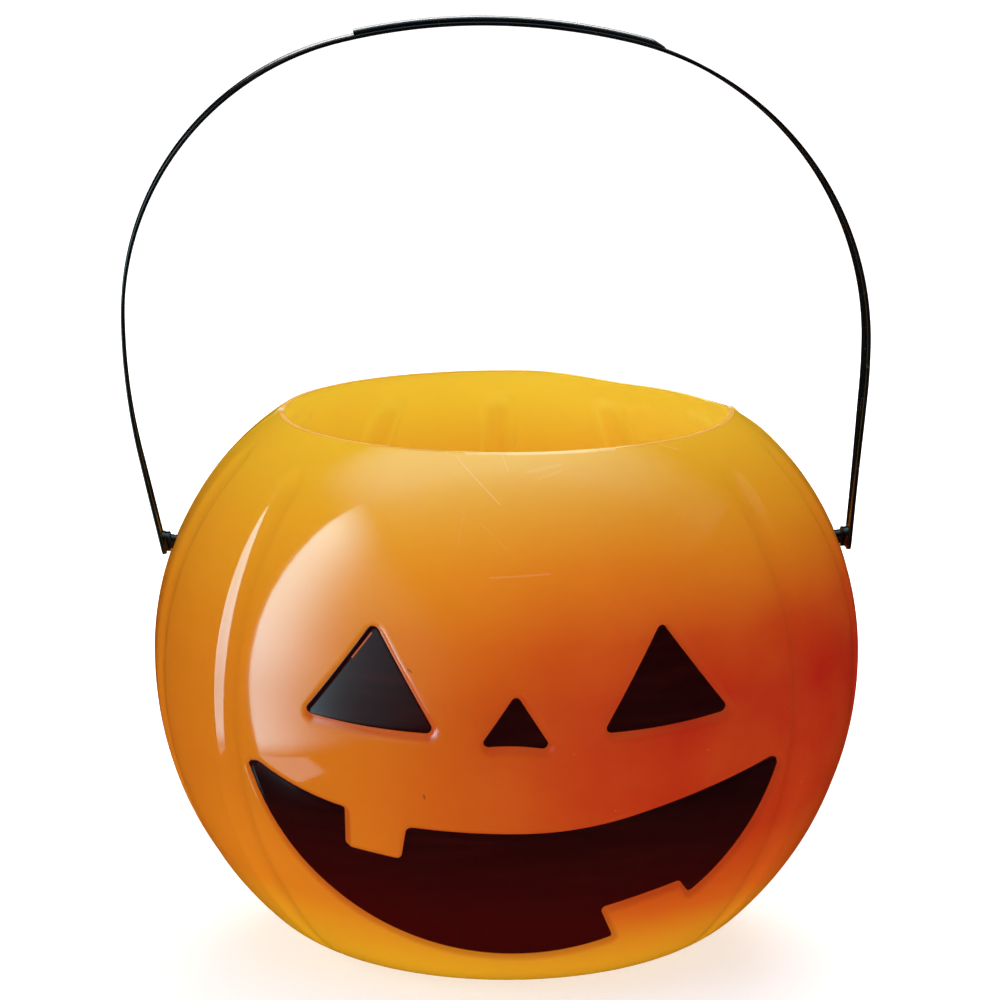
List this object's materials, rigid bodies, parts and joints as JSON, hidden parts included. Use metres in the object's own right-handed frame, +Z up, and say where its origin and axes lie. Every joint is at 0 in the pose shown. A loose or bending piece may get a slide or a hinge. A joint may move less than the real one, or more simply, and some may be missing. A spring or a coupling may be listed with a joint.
{
  "type": "candy pail",
  "caption": "Round pumpkin-shaped candy pail with an open mouth, fluted sides, a sunk and painted jack-o'-lantern face, and a strap bail that swings on side pegs.",
  "frame": {"origin": "centre of the flat ring that the pail stands on", "axes": "+Z up, the face looks along -Y, and +X is to the right for someone who looks at the face"},
  "size_m": [0.2098, 0.1999, 0.2625],
  "materials": {
    "orange_shell": "glossy, slightly translucent blow-moulded polyethylene",
    "black_paint": "satin black paint",
    "black_bail": "glossy black moulded plastic"
  },
  "bodies": {
    "pail": {"pail_shell": "orange_shell", "left_eye_paint": "black_paint", "right_eye_paint": "black_paint", "nose_paint": "black_paint", "mouth_paint": "black_paint"},
    "bail": {"bail_strap": "black_bail", "bail_grip": "black_bail"}
  },
  "joints": [
    {"name": "bail_swing", "type": "hinge", "parent": "pail", "child": "bail", "pos_m": [0, 0, 0.11472], "axis": [1, 0, 0], "range_deg": [-138, 138]}
  ]
}
